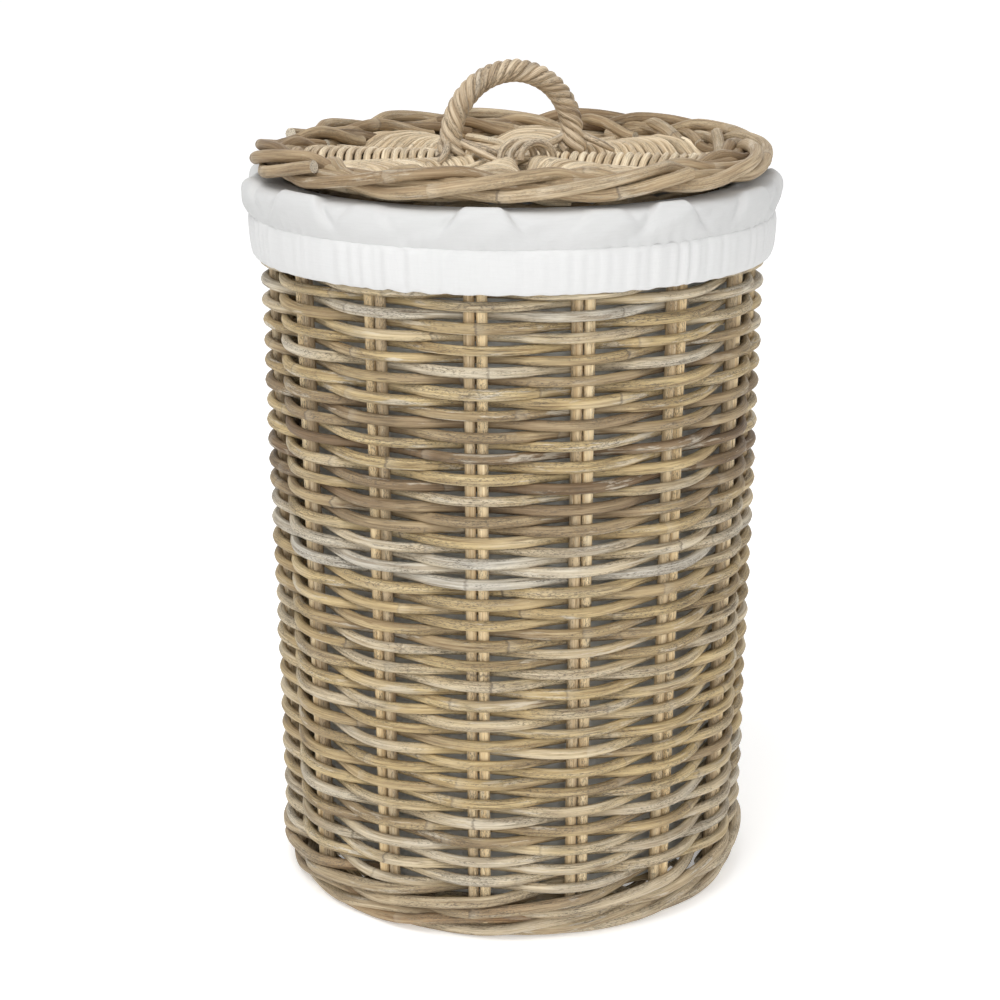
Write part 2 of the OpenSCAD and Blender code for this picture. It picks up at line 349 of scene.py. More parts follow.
def rattan(name, colours, dark, pale, rough=0.62, on_rods=True, wear=1.0):
    """Weathered rattan: long fibres, dark specks, worn pale patches and ring scars where leaves grew."""
    material, tree, shader = new_material(name)
    if on_rods:
        grain = attribute(tree, "grain", 1)
        tone, other, third = (part_of(attribute(tree, "rod", 1), i) for i in range(3))
        cut = attribute(tree, "cut", 2)
    else:
        grain = out(node(tree, "ShaderNodeTexCoord"), 3)
        tone = other = third = noise(grain, 20.0)
        cut = tone * 0.0

    def streaky(along, around, detail=2.0, rough=0.5):
        """Noise drawn out along the grain, by the number of marks in a metre along it and across it."""
        return noise(stretched_at(grain, along, around, around), detail=detail, rough=rough)

    fibres = streaky(30.0, 1300.0, 3.0, 0.65)
    streaks = streaky(10.0, 420.0, 4.0, 0.65)
    clouds = streaky(12.0, 90.0, 4.0, 0.6)
    worn = streaky(22.0, 170.0, 5.0, 0.68).ramp(0.56, 0.62)
    bark = streaky(17.0, 210.0, 5.0, 0.7).ramp(0.56, 0.66)
    specks = streaky(420.0, 1500.0, 2.0, 0.7).ramp(0.51, 0.60)
    marks = specks * streaky(16.0, 150.0, 4.0, 0.65).ramp(0.42, 0.58)
    split = abs(streaky(16.0, 1000.0) - 0.5)
    cracks = (1.0 - split.ramp(0.0, 0.022)) * streaky(20.0, 60.0).ramp(0.45, 0.6)

    # Ring scars: a thin dark line that wanders round the rod, with a paler stretch on one side of it.
    wander = streaky(60.0, 300.0) * 0.006 - 0.003
    ring_at = (part_of(grain, 0) + wander + third * SCAR_STEP).mod(SCAR_STEP) - SCAR_STEP / 2
    ring = abs(ring_at)
    scar = (1.0 - ring.ramp(0.0004, 0.0014)) * streaky(9.0, 0.0, 1.0).ramp(0.36, 0.62)
    beside = (1.0 - ring.ramp(0.001, 0.012)) * ring_at.ramp(-0.0005, 0.0005)

    soot = tinted(dark, 0.28)
    base = palette(tone * 0.72 + clouds * 0.60 - 0.16, colours)
    base = mix(streaks.ramp(0.40, 0.70) * 0.60, base, dark, "MULTIPLY")
    base = mix(fibres.ramp(0.38, 0.68) * 0.55, base, dark, "MULTIPLY")
    base = mix(worn * (other * 0.75 + 0.10) * wear, base, pale)
    base = mix(bark * (third * 0.6 + 0.15) * wear, base, dark, "MULTIPLY")
    base = mix(marks * 0.72 * wear, base, soot)
    base = mix(cracks * 0.60 * wear, base, soot)
    base = mix(beside * 0.18, base, pale)
    base = mix(scar * 0.6, base, tinted(dark, 0.35))

    # Cut ends show the open pores of the cane.
    pores = streaky(1.0, 1400.0).ramp(0.48, 0.60)
    base = mix(cut, base, mix(pores * 0.8, pale, tinted(dark, 0.5)))
    put(tree, shader.inputs["Base Color"], base)
    put(tree, shader.inputs["Roughness"], fibres * 0.25 + (rough - 0.12))
    shader.inputs["Specular IOR Level"].default_value = 0.35
    height = fibres * 0.5 + streaks * 0.6 + worn * 0.35 + beside * 0.5
    height = height - bark * 0.25 - marks * 0.6 - cracks * 0.9 - scar * 0.9
    add_bump(tree, shader, height, 0.75, 0.0007)
    return material


def cotton(name, colour, hidden_side, thread=0.0009):
    """Plain woven cotton: crossed threads, slubs, soft creases, and a side that faces the basket in a colour
    of its own, used as painted light in the shaded gaps between the rods.
    """
    material, tree, shader = new_material(name)
    flat = out(node(tree, "ShaderNodeUVMap", uv_map="cloth"))
    side = attribute(tree, "side", 2)
    warp, weft = ((part_of(flat, i) * (2 * math.pi / thread)).sin() for i in range(2))
    slubs = noise(stretched_at(flat, 60.0, 900.0, 1.0), detail=3.0)
    creases = noise(flat, 45.0, 4.0, 0.55)
    stain = noise(flat, 9.0, 3.0, 0.5)
    cloth = mix(slubs.ramp(0.35, 0.75) * 0.25, colour, tinted(colour, 0.90))
    cloth = mix(stain.ramp(0.45, 0.75) * 0.3, cloth, tinted(colour, (0.95, 0.97, 0.96)))
    put(tree, shader.inputs["Base Color"], mix(side, hidden_side, cloth))
    shader.inputs["Roughness"].default_value = 0.92
    shader.inputs["Specular IOR Level"].default_value = 0.12
    shader.inputs["Sheen Weight"].default_value = 0.15
    add_bump(tree, shader, warp * weft * 0.12 + slubs * 0.2 + creases * 2.2, 0.5, 0.0008)
    return material


def knitted(name, colour, rib=0.0012):
    """Ribbed elastic webbing."""
    material, tree, shader = new_material(name)
    at = out(node(tree, "ShaderNodeTexCoord"), 3)
    ribs = (part_of(at, 2) * (2 * math.pi / rib)).sin()
    knots = noise(at, 900.0, 2.0)
    # Painted shade: the colour darkens to 0.8 in the grooves between the ribs, where the bump is lowest.
    put(tree, shader.inputs["Base Color"], mix(ribs.ramp(-1.0, 1.0), tinted(colour, 0.8), colour))
    shader.inputs["Roughness"].default_value = 0.8
    add_bump(tree, shader, ribs * 0.5 + knots, 0.6, 0.0004)
    return material


# Each palette runs from the darkest rods to the palest.
WALL_COLOURS = [
    (0.24, 0.165, 0.095), (0.43, 0.33, 0.195), (0.61, 0.475, 0.25), (0.66, 0.57, 0.41), (0.63, 0.60, 0.52),
]
STAKE_COLOURS = [(0.42, 0.31, 0.19), (0.64, 0.51, 0.33), (1.0, 0.80, 0.48), (1.0, 0.86, 0.60)]
BORDER_COLOURS = [(0.40, 0.235, 0.11), (0.44, 0.35, 0.22), (0.58, 0.475, 0.315), (0.62, 0.55, 0.42)]
LID_COLOURS = [(0.22, 0.15, 0.085), (0.38, 0.28, 0.165), (0.52, 0.405, 0.255), (0.61, 0.505, 0.355)]
PALE_COLOURS = [(0.48, 0.375, 0.24), (0.72, 0.585, 0.395), (0.86, 0.725, 0.51), (0.94, 0.83, 0.63)]
HANDLE_COLOURS = [(0.40, 0.30, 0.185), (0.60, 0.48, 0.325), (0.76, 0.645, 0.475)]

wall_rattan = rattan("wall_rattan", WALL_COLOURS, (0.42, 0.34, 0.26), (0.62, 0.56, 0.45))
stake_rattan = rattan("stake_rattan", STAKE_COLOURS, (0.55, 0.45, 0.34), (0.74, 0.62, 0.42))
border_rattan = rattan("border_rattan", BORDER_COLOURS, (0.42, 0.34, 0.26), (0.58, 0.52, 0.42))
lid_rattan = rattan("lid_rattan", LID_COLOURS, (0.50, 0.40, 0.30), (0.76, 0.68, 0.54), wear=0.5)
pale_rattan = rattan("pale_rattan", PALE_COLOURS, (0.50, 0.40, 0.30), (0.84, 0.75, 0.60), wear=0.5)
handle_rattan = rattan("handle_rattan", HANDLE_COLOURS, (0.45, 0.36, 0.28), (0.55, 0.47, 0.36), rough=0.5)
core_rattan = rattan("core_rattan", HANDLE_COLOURS, (0.35, 0.28, 0.22), (0.45, 0.38, 0.30), on_rods=False)
# The liner's side that faces the basket is painted paler and greener than the cloth: painted light in the
# shaded gaps seen between the rods.
liner_cotton = cotton("liner_cotton", (0.575, 0.575, 0.57), (0.71, 0.71, 0.67))
hem_cotton = cotton("hem_cotton", (0.645, 0.645, 0.64), (0.645, 0.645, 0.64))
elastic_web = knitted("elastic_web", (0.85, 0.85, 0.84))


# ---------------------------------------------------------------- woven wall

SHARE = 7  # crossings that one rod makes before the next one takes over
WEAVE_ROWS = 65
BANDS = 5
GREY_BAND, GOLD_BAND, BROWN_BAND = 0.285, 0.195, 0.375  # heights of the greyer, golden and browner rods

CENTRE = "Wall centre at the floor"
LEAN = "Lean"
LOW = "Lowest height"
RISE = "Rise of one round"
SWING = "Swing in and out"
WOBBLE = "Wobble"
TURN = "Turn"


def round_place(angle, radius):
    """x and y at an angle from the front, towards +X."""
    return angle.sin() * radius, angle.cos() * radius * -1.0


def weaver_path(size, rod, t):
    """A weaver that spirals up the wall, out in front of one pair of stakes and in behind the next."""
    start = rod * float(SHARE) + random(rod, 1, 0.0, SHARE - 3.0).math("ROUND")
    following = rod + 1.0
    end = following * float(SHARE) + random(following, 1, 0.0, SHARE - 3.0).math("ROUND")
    pair = t.to(start * 2.0 + 1.0, end * 2.0 + 1.0)
    angle = pair * (2 * math.pi / STAKE_PAIRS) + size[TURN]
    shake = vector(pair * 0.9, rod * 3.1, 4.0)
    z = pair * size[RISE] / STAKE_PAIRS + size[LOW] + (noise(shake) - 0.5) * size[WOBBLE] * 2.0
    shake = vector(pair * 0.9, rod * 3.1, 9.0)
    sway = (pair * math.pi).cos() * size[SWING] + (noise(shake) - 0.5) * size[WOBBLE]
    x, y = round_place(angle, size[CENTRE] + z * size[LEAN] + sway)
    grey = 1.0 - abs(z - GREY_BAND).ramp(0.0, 0.055)
    gold = 1.0 - abs(z - GOLD_BAND).ramp(0.02, 0.075)
    brown = 1.0 - abs(z - BROWN_BAND).ramp(0.01, 0.07)
    drift = noise(vector(pair * 0.35, rod * 1.7, 2.0)) - 0.5
    tone = random(rod, 3, 0.04, 0.90) * (1.0 - gold * 0.5) + gold * 0.28 - brown * 0.26 + drift * 0.9
    tone = tone + grey * random(rod, 4, 0.0, 0.34) + z.ramp(0.42, 0.50) * 0.10
    tone = tone + (pair * math.pi).cos() * 0.06  # painted light and shade: paler where a rod stands out in front of the stakes, darker where it passes behind them
    return x, y, z, random(rod, 2, 0.90, 1.10), tone


weave_tree = rod_tree("wall_weave", (CENTRE, LEAN, LOW, RISE, SWING, WOBBLE, TURN), weaver_path)
crossings = WEAVE_ROWS * STAKE_PAIRS / 2
band_rods = round(crossings / SHARE / BANDS)
wall_sizes = {
    CENTRE: wall_foot_r - WALL_T / 2, LEAN: wall_lean, TURN: FIRST_PAIR, UNEVEN: 0.07, WOBBLE: 0.0009,
}
weaver_sizes = {
    MATERIAL: wall_rattan, LOW: wale_z - WEAVER_R, RISE: (rim_low - wale_z + 2 * WEAVER_R) / WEAVE_ROWS,
    SWING: (STAKE_R + WEAVER_R) * 0.85,
}
for band in range(BANDS):
    rods(f"weavers_{band + 1}", weave_tree, "basket", "wall_rattan", [f"wall_weave_{band + 1}"], sizes={
        **wall_sizes, **weaver_sizes, RODS: band_rods, POINTS: 280, FIRST: band * band_rods, SIDES: 10,
        ROD_R: WEAVER_R,
    })


# ---------------------------------------------------------------- stakes

HIGH = "Highest height"
GAP = "Gap of a pair"


def stake_path(size, rod, t):
    """Upright stakes in pairs, leaning out with the wall."""
    pair = (rod / 2.0).floor()
    side = rod - pair * 2.0
    angle = pair * (2 * math.pi / STAKE_PAIRS) + size[TURN]
    z = t.to(size[LOW], size[HIGH])
    shake = (noise(vector(z * 14.0, rod * 5.3, 0.0)) - 0.5) * size[WOBBLE]
    radius = size[CENTRE] + z * size[LEAN] + shake
    off = (side - 0.5) * size[GAP] + shake
    x, y = round_place(angle, radius)
    x = x + angle.cos() * off
    y = y + angle.sin() * off
    golden = abs(side - pair.math("GREATER_THAN", 7.5))
    tone = golden.to(0.28, 0.80) + random(rod, 3, -0.18, 0.18)
    return x, y, z, random(rod, 2, 0.95, 1.04), tone


stake_tree = rod_tree("stakes", (CENTRE, LEAN, LOW, HIGH, GAP, WOBBLE, TURN), stake_path)
rods("stakes", stake_tree, "basket", "stake_rattan",
     [f"stake_pair_{i + 1:02d}" for i in range(STAKE_PAIRS)], sizes={
         **wall_sizes, RODS: 2 * STAKE_PAIRS, POINTS: 60, FIRST: 0, SIDES: 12, MATERIAL: stake_rattan,
         ROD_R: STAKE_R, LOW: foot_h, HIGH: rim_low, GAP: STAKE_GAP, UNEVEN: 0.03,
     })


# ---------------------------------------------------------------- frayed fibres

LENGTH = "Length of a fibre"


def fibre_path(size, rod, t):
    """Splinters that peel away from the weavers they grow on."""
    host = random(rod, 1, 0.0, float(BANDS * band_rods - 1)).math("ROUND")
    way = random(rod, 3).math("GREATER_THAN", 0.5) * 2.0 - 1.0
    at = random(rod, 2, 0.03, 0.97) + t * size[LENGTH] * random(rod, 4, 0.5, 1.3) * way
    x, y, z, _, tone = weaver_path(size, host, at)
    peel = t * t * random(rod, 6, 0.0005, 0.005) + WEAVER_R * 0.8
    outwards = peel / (x * x + y * y).power(0.5) + 1.0
    return x * outwards, y * outwards, z + t * t * random(rod, 7, -0.004, 0.004), 1.05 - t, tone + 0.2


fibre_tree = rod_tree("frayed_fibres", (CENTRE, LEAN, LOW, RISE, SWING, WOBBLE, TURN, LENGTH), fibre_path)
rods("frayed_fibres", fibre_tree, "basket", "wall_rattan", [], sizes={
    **wall_sizes, **weaver_sizes, RODS: 150, POINTS: 7, FIRST: 0, SIDES: 5, ROD_R: 0.00055, LENGTH: 0.013,
})


# ---------------------------------------------------------------- foot and rolled borders

COUNT = "Rods in the ring"
LEAD = "Angle of one rod"
ACROSS = "Half width"
UPWARDS = "Half height"
MIDDLE = "Ring radius"
CUT = "Share of cut ends"


PLAIT_START = math.radians(172)  # where a plaited rod leaves the weave, round the border's section
PLAIT_SWEEP = math.radians(227)  # how far it goes round the section before it climbs back


def wale_path(size, rod, t):
    """Bottom waling: each rod climbs in front of two pairs of stakes and ends behind the third."""
    pair = rod + t * 3.0
    angle = pair * (2 * math.pi / STAKE_PAIRS) + size[TURN]
    shake = noise(vector(t * 4.0, rod * 2.7, 1.0)) - 0.5
    z = t * size[RISE] + size[LOW] + shake * size[WOBBLE]
    sway = (t.ramp(0.03, 0.34) - t.ramp(0.66, 0.97)) * 2.0 - 1.0
    radius = size[CENTRE] + z * size[LEAN] + sway * size[SWING] + shake * size[WOBBLE]
    x, y = round_place(angle, radius)
    return x, y, z, random(rod, 2, 0.94, 1.06), random(rod, 3)


def rolled_path(size, rod, t):
    """A border rod that rolls once round the ring: out from the inside, over the face and in again."""
    lead = size[LEAD] * random(rod, 12, 0.92, 1.08)
    angle = rod / size[COUNT] * (2 * math.pi) + (t - 0.5) * lead + random(rod, 4, -0.03, 0.03)
    shake = noise(vector(t * 6.0, rod * 2.9, 2.0)) - 0.5
    roll = t.to(-math.pi, math.pi)
    roll = roll + (roll * 2.0).sin() * 0.26 + random(rod, 8, -0.22, 0.22)  # steeper over the face
    proud = random(rod, 13, -1.5, 0.0) * size[WOBBLE]
    radius = size[MIDDLE] + roll.cos() * (size[ACROSS] + proud) + shake * size[WOBBLE]
    z = size[LOW] + roll.sin() * (size[UPWARDS] + proud) + shake * size[WOBBLE]
    z = z.math("MAXIMUM", size[ROD_R] * 1.12)  # the foot's rods lie flat on the floor
    x, y = round_place(angle, radius)
    tone = random(rod, 3) - t.ramp(0.60, 0.80) * 0.2
    return x, y, z, random(rod, 2, 0.88, 1.05), tone


def plaited_path(size, rod, t):
    """A border rod that dives behind its neighbours, bows round the edge and climbs back over them."""
    is_cut = random(rod, 18).math("LESS_THAN", size[CUT])
    t = t * (1.0 - is_cut * random(rod, 7, 0.30, 0.40))
    lead = size[LEAD] * random(rod, 12, 0.94, 1.06)
    angle = rod / size[COUNT] * (2 * math.pi) + (t - 0.5) * lead + random(rod, 4, -0.035, 0.035)
    climb = ((t - 0.42) / 0.58).math("MAXIMUM", 0.0)
    drop = t.ramp(0.0, 0.46) - (climb + climb.ramp(0.0, 1.0)) * 0.5
    roll = drop * -PLAIT_SWEEP + PLAIT_START + random(rod, 8, -0.10, 0.10)
    behind = t.ramp(0.12, 0.20) - t.ramp(0.34, 0.50) + t.ramp(0.76, 0.86)
    tucked = 1.0 - t.ramp(0.0, 0.10) + t.ramp(0.90, 1.0)
    shake = noise(vector(t * 6.0, rod * 2.9, 2.0)) - 0.5
    inwards = behind * size[ROD_R] * 1.7 + random(rod, 13, 0.0, 1.2) * size[WOBBLE]
    square = abs(roll.sin()) * 0.35 + 1.0
    wobble = shake * size[WOBBLE]
    radius = size[MIDDLE] + roll.cos() * square * (size[ACROSS] - inwards) + wobble - tucked * 0.004
    z = size[LOW] + roll.sin() * (size[UPWARDS] - inwards) + wobble - tucked * 0.006
    x, y = round_place(angle, radius)
    # Painted shade: the tone drops by 0.40 where the rod runs behind its neighbours.
    return x, y, z, random(rod, 2, 0.92, 1.06), random(rod, 3, 0.0, 1.0) - behind * 0.40


wale_tree = rod_tree("waling", (CENTRE, LEAN, LOW, RISE, SWING, WOBBLE, TURN), wale_path)
rolled_sizes = (COUNT, LEAD, MIDDLE, ACROSS, UPWARDS, LOW, WOBBLE)
rolled_tree = rod_tree("rolled_border", rolled_sizes, rolled_path)
plaited_tree = rod_tree("plaited_border", (*rolled_sizes, CUT), plaited_path)

WALE_R = 0.0046
rods("bottom_waling", wale_tree, "basket", "border_rattan", ["upsett_wale"], sizes={
    **wall_sizes, RODS: STAKE_PAIRS, POINTS: 48, FIRST: 0, SIDES: 12, MATERIAL: border_rattan, ROD_R: WALE_R,
    LOW: foot_h + 0.002, RISE: 3 * 1.9 * WALE_R, SWING: STAKE_R + WALE_R, WOBBLE: 0.0012,
})


def rolled_border(name, body, slot, nodes, material, count, lead, rod_r, low, high, inner, outer,
                  cut=0.0, under=0.0, tree=rolled_tree):
    """A border that fills the space between two heights and two radii, or lies under another by a layer."""
    return rods(name, tree, body, slot, nodes, sizes={
        RODS: count, POINTS: 96, FIRST: 0, SIDES: 12, MATERIAL: material, ROD_R: rod_r, UNEVEN: 0.07,
        COUNT: float(count), LEAD: math.radians(lead), MIDDLE: (inner + outer) / 2, WOBBLE: 0.0012, CUT: cut,
        ACROSS: (outer - inner) / 2 - rod_r - under, UPWARDS: (high - low) / 2 - rod_r - under,
        LOW: (low + high) / 2,
    })


FOOT_TOP = 0.0203
foot_in, foot_out = 0.169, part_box("foot_border")[1][0]
rolled_border("foot_roll", "basket", "border_rattan", ["foot_border"], border_rattan, count=17, lead=84.0,
              rod_r=0.0046, low=0.0, high=FOOT_TOP, inner=foot_in, outer=foot_out)
rim_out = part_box("rim_border")[1][0]
rolled_border("rim_roll", "basket", "border_rattan", ["rim_border"], border_rattan, count=30, lead=44.0,
              rod_r=0.0043, low=rim_low, high=rim_top, inner=rim_out - WALL_T, outer=rim_out)
rolled_border("lid_plait", "lid", "lid_rattan", ["lid_border"], lid_rattan, count=SPOKES, lead=128.0,
              rod_r=0.0048, low=lid_low, high=lid_top, inner=weave_r, outer=lid_r, cut=0.25,
              tree=plaited_tree)
rolled_border("lid_roll_under", "lid", "lid_rattan", [], lid_rattan, count=22, lead=-70.0, rod_r=0.0044,
              low=lid_low, high=lid_top - 0.006, inner=weave_r - 0.003, outer=lid_r - 0.008, under=0.001)
ring_low, ring_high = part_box("lid_ring")[0][2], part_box("lid_ring")[1][2]
ring_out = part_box("lid_ring")[1][0]
rolled_border("lid_ring_roll", "lid", "lid_rattan", ["lid_ring"], lid_rattan, count=36, lead=30.0,
              rod_r=0.0033, low=ring_low, high=ring_high, inner=ring_out - 0.009, outer=ring_out)


# ---------------------------------------------------------------- flat weave of the base and the lid

INNER = "Radius of the first round"
STICK_GAP = "Gap between crossed sticks"
REACH = "Length of a stick from the middle"
LAYER = "Layer"
SPREAD = "Height between layers"
ALTERNATE = "Share of alternate rounds"
LID_TURN = math.radians(-20)
FAN_STEP = 2 * math.pi / SPOKES


def flat_weaver_path(size, rod, t):
    """Two weavers that chase each other outwards, over one spoke and under the next."""
    turn = (rod / 2.0 + 1e-4).floor()
    which = rod - turn * 2.0
    spoke = t.to(0.0, float(SPOKES)) + turn * float(SPOKES) + 1.0 - which
    angle = (spoke + 0.5) * (2 * math.pi / SPOKES) + size[TURN]
    shake = noise(vector(spoke * 0.8, rod * 3.3, 5.0)) - 0.5
    radius = size[INNER] + size[RISE] * (spoke * 2.0 / SPOKES + which) + shake * size[WOBBLE]
    hump = ((spoke + which * size[ALTERNATE]) * math.pi).cos()
    hump = hump.ramp(-0.7, 0.7) * 1.1 + hump * 0.45 - 0.55  # flatter on top of a spoke, and steep beside it
    z = size[LOW] + hump * size[SWING] + shake * size[WOBBLE]
    x, y = round_place(angle, radius)
    return x, y, z, random(rod, 2, 0.90, 1.08), random(rod, 3)


def stick_path(size, rod, t):
    """Crossed sticks: side by side in the middle, fanned out evenly at the edge."""
    row = (rod / 2.0 + 1e-4).floor()
    side = (rod - row * 2.0) * 2.0 - 1.0
    beside = (row + 0.5) * size[STICK_GAP]
    fan = (row + 0.5) * FAN_STEP
    rise = fan.sin() * size[REACH] - beside
    run = fan.cos() * size[REACH]
    # The arc that leaves the middle straight along the cross and passes through the stick's own end.
    bow = (run * run + rise * rise) / (rise * 2.0)
    a = t.to(-1.0, 1.0) * (run / bow).math("ARCSINE")
    along = a.sin() * bow
    off = (beside + bow - a.cos() * bow) * side
    turn = size[TURN] + size[LAYER] * (math.pi / 2)
    x = along * turn.cos() - off * turn.sin()
    y = along * turn.sin() + off * turn.cos()
    flat = abs(along).ramp(0.020, 0.060)
    z = size[LOW] + (size[LAYER] - 0.5) * size[SPREAD] * (1.0 - flat)
    return x, y, z, random(rod, 2, 0.95, 1.03), random(rod, 3)


def binding_path(size, rod, t):
    """Thin rounds that tie the crossed sticks, over one arm of the cross and under the next."""
    angle = t * (2 * math.pi)
    side = rod.mod(2.0) * 2.0 - 1.0
    corner = (angle * 4.0 + size[TURN] * 4.0).cos() * 0.0012
    x, y = round_place(angle, size[INNER] + rod * size[RISE] - corner)
    z = size[LOW] + (angle * 2.0 + size[TURN] * 2.0).cos() * side * size[SWING]
    return x, y, z, 1.0, random(rod, 3)


flat_tree = rod_tree("flat_weave", (INNER, RISE, LOW, SWING, TURN, WOBBLE, ALTERNATE), flat_weaver_path)
stick_tree = rod_tree("crossed_sticks", (STICK_GAP, REACH, TURN, LAYER, SPREAD, LOW), stick_path)
binding_tree = rod_tree("cross_binding", (INNER, RISE, LOW, SWING, TURN), binding_path)


def flat_weave(part, body, slot, material, turn, middle, outer, rod_r, stick_r, first, rows, alternate):
    """The crossed sticks, their binding and the round weave of the base or the lid."""
    common = {MATERIAL: material, SIDES: 10, UNEVEN: 0.06, FIRST: 0, LOW: middle, TURN: turn}
    for layer, layer_name in enumerate(("under", "over")):
        stick_node = f"{part}_sticks_{layer_name}"
        rods(stick_node + "_rods", stick_tree, body, slot, [stick_node], sizes={
            **common, RODS: 4, POINTS: 48, ROD_R: stick_r, STICK_GAP: 2.15 * stick_r, REACH: outer - 0.002,
            LAYER: float(layer), SPREAD: 2 * stick_r,
        })
    rods(f"{part}_binding", binding_tree, body, slot, [], sizes={
        **common, RODS: 3, POINTS: 64, ROD_R: 0.0022, INNER: 0.0225, RISE: 0.0032, SWING: 2 * stick_r,
    })
    rods(f"{part}_weavers", flat_tree, body, slot, [f"{part}_weave"], sizes={
        **common, RODS: rows, POINTS: 240, ALTERNATE: alternate, ROD_R: rod_r, INNER: first,
        RISE: (outer - rod_r - first) / rows, SWING: stick_r + rod_r, WOBBLE: 0.0012,
    })


flat_weave("lid", "lid", "lid_rattan", pale_rattan, turn=LID_TURN, middle=weave_top - 0.0088,
           outer=weave_r + 0.006, rod_r=0.0030, stick_r=0.0029, first=0.0315, rows=19, alternate=0.0)
flat_weave("base", "basket", "base_rattan", wall_rattan, turn=0.0, middle=(base_low + base_top) / 2,
           outer=base_r, rod_r=0.0034, stick_r=0.0038, first=0.038, rows=18, alternate=1.0)


# ---------------------------------------------------------------- rope handle

ARCH_R = "Arch radius"
ARCH_Z = "Arch centre height"
LEG = "Leg height"
AROUND = "Radius to a strand"
ROPE_LEAD = "Length of one turn"
HANDLE_TURN = math.radians(25)
STRANDS = 5
END_FAN = 2.39  # angle between strand ends, so that no two of them lie side by side


def along_handle(across, depth):
    """x and y of a place across the lid in the handle's plane, and a depth out of that plane."""
    x = across * math.cos(HANDLE_TURN) - depth * math.sin(HANDLE_TURN)
    y = across * math.sin(HANDLE_TURN) + depth * math.cos(HANDLE_TURN)
    return x, y


def strand_path(size, rod, t):
    """Strands wound round the core of the handle, up one leg, over the arch and down the other."""
    arch = size[ARCH_R] * math.pi
    whole = arch + size[LEG] * 2.0
    s = t * whole
    bend = ((s - size[LEG]) / size[ARCH_R]).math("MAXIMUM", 0.0).math("MINIMUM", math.pi)
    drop = (size[LEG] - s).math("MAXIMUM", 0.0) + (s - size[LEG] - arch).math("MAXIMUM", 0.0)
    turn = rod * (2 * math.pi / STRANDS) + s * (2 * math.pi) / size[ROPE_LEAD]
    turn = turn + random(rod, 4, -0.06, 0.06)
    end = s.math("MINIMUM", whole - s)
    away = size[AROUND] + (1.0 - end.ramp(0.0, 0.016)) * 0.0035  # the strands spread at the feet
    across = (bend.cos() * -1.0) * (size[ARCH_R] + turn.cos() * away)
    z = size[ARCH_Z] + bend.sin() * (size[ARCH_R] + turn.cos() * away) - drop
    depth = turn.sin() * away
    x, y = along_handle(across, depth)
    return x, y, z, random(rod, 2, 0.95, 1.05), random(rod, 3)


arch_r = 0.052
arch_z = handle_top - CORE_R - arch_r
strand_tree = rod_tree("handle_strands", (ARCH_R, ARCH_Z, LEG, AROUND, ROPE_LEAD), strand_path)
strand_nodes = [f"handle_strand_{i + 1}" for i in range(STRANDS)]
rods("handle_wrap", strand_tree, "lid", "handle_rattan", strand_nodes, sizes={
    RODS: STRANDS, POINTS: 200, FIRST: 0, SIDES: 12, MATERIAL: handle_rattan, ROD_R: STRAND_R, UNEVEN: 0.05,
    ARCH_R: arch_r, ARCH_Z: arch_z, LEG: arch_z - weave_top + 0.002, AROUND: CORE_R + STRAND_R * 0.45,
    ROPE_LEAD: 0.037,
})
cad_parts["handle_core"].material_slots[0].material = core_rattan

FOOT_SIDE = "Side of the foot"
SPAN = "Length over the lid"
LIFT = "Lift over the weave"


def end_path(size, rod, t):
    """Ends of the strands, which flare from a foot of the handle and dive into the lid's weave."""
    heading = rod * END_FAN + random(rod, 4, -0.3, 0.3) + size[FOOT_SIDE]
    span = size[SPAN] * random(rod, 6, 0.5, 1.1)
    out_by = size[AROUND] + t * span
    across = size[ARCH_R] * size[FOOT_SIDE] + heading.cos() * out_by
    depth = heading.sin() * out_by + t * (1.0 - t) * random(rod, 7, -0.02, 0.02)
    z = size[LOW] + (1.0 - t) * (1.0 - t) * size[LIFT] + (t * math.pi).sin() * 0.003
    x, y = along_handle(across, depth)
    return x, y, z, t.ramp(0.5, 1.2) * -0.4 + 1.0, random(rod, 3)


def loop_path(size, rod, t):
    """Loops where strand ends are turned back over the crossed sticks."""
    bend = t * math.pi
    x = size[SPAN] * (bend.cos() * -1.0) + rod * 0.0075 + 0.004
    y = rod * -0.004 - 0.030 + t * 0.012
    z = size[LOW] + bend.sin() * size[LIFT]
    return x, y, z, 1.0, random(rod, 3)


end_tree = rod_tree("handle_ends", (ARCH_R, AROUND, FOOT_SIDE, SPAN, LIFT, LOW), end_path)
loop_tree = rod_tree("handle_loops", (SPAN, LIFT, LOW), loop_path)
end_sizes = {
    POINTS: 40, FIRST: 0, SIDES: 10, MATERIAL: handle_rattan, ROD_R: 0.0029, UNEVEN: 0.08,
    ARCH_R: arch_r, AROUND: 0.008, SPAN: 0.036, LIFT: 0.012, LOW: weave_top - 0.003,
}
for foot, side, stood_for in (("left", -1.0, ["handle_tails"]), ("right", 1.0, [])):
    rods(f"{foot}_foot_ends", end_tree, "lid", "handle_rattan", stood_for, sizes={
        **end_sizes, RODS: 4, FOOT_SIDE: side,
    })
rods("turned_ends", loop_tree, "lid", "handle_rattan", [], sizes={
    **end_sizes, RODS: 3, SPAN: 0.013, LIFT: 0.013,
})


# ---------------------------------------------------------------- cotton liner

CLOTH_T = 0.0010
AROUND_STEPS = 640


def waves(angle, seed, lowest, highest, count=7):
    """A smooth closed curve round the basket, from about -1 to 1, made of a few sine waves."""
    dice = np.random.default_rng(seed)
    beats = dice.integers(lowest, highest + 1, count)
    shifts = dice.uniform(0, 2 * np.pi, count)
    heights = dice.uniform(0.5, 1.0, count)
    return sum(h * np.sin(b * angle + p) for b, p, h in zip(beats, shifts, heights)) / heights.sum() * 1.6


def smooth_step(low, high, value):
    """0 at low, 1 at high, smooth in between."""
    t = np.clip((value - low) / (high - low), 0, 1)
    return t * t * (3 - 2 * t)


